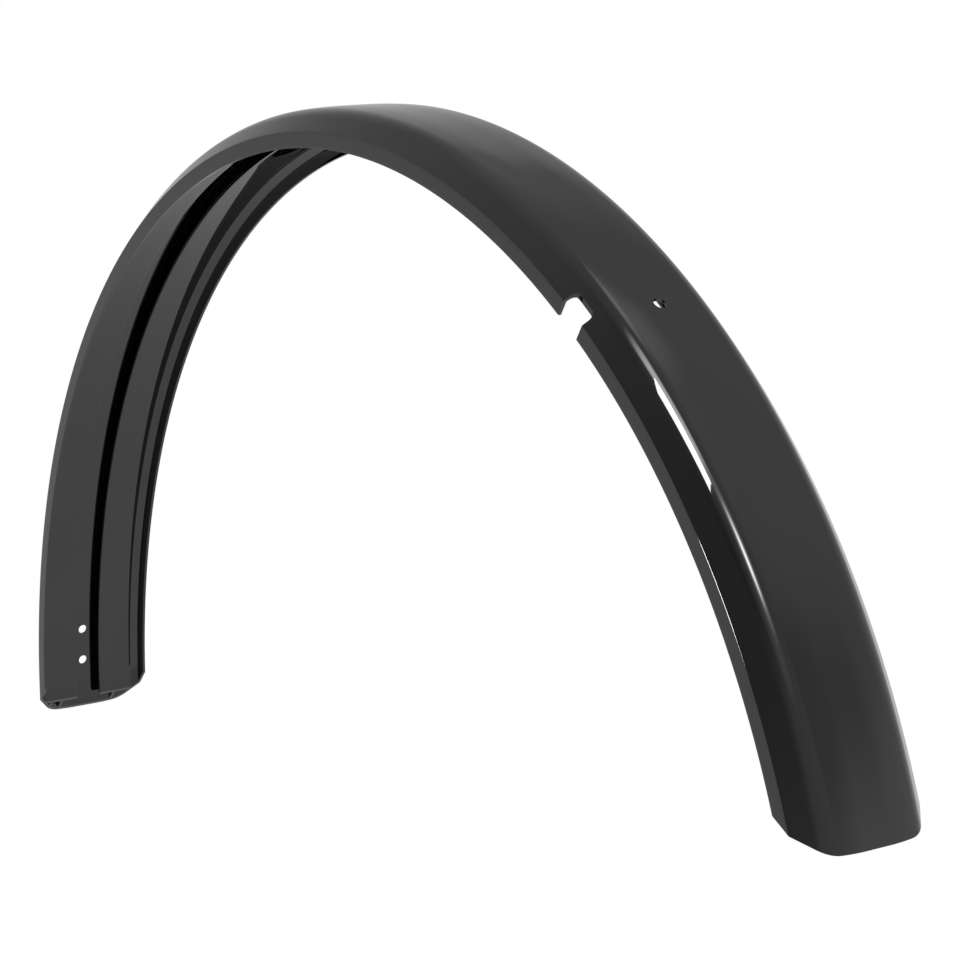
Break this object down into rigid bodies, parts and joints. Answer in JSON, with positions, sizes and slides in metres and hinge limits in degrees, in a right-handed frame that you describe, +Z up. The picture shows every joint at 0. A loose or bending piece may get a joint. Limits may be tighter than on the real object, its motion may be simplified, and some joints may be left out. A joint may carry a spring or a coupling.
{
  "type": "bicycle mudguard",
  "caption": "Long black plastic bicycle mudguard, a flat-crowned arch with side lips and a T-shaped channel inside, slanted ends, bolt holes at the front and a notch for a stay.",
  "frame": {"origin": "the middle of the wheel's axle, which the arch is concentric with, in the guard's middle plane", "axes": "+Z up, +X to the rear, +Y along the axle away from the notched side"},
  "size_m": [0.7412, 0.068, 0.4241],
  "materials": {
    "black_plastic": "smooth black plastic with a soft gloss"
  },
  "bodies": {
    "root": {"mudguard": "black_plastic"}
  },
  "joints": []
}
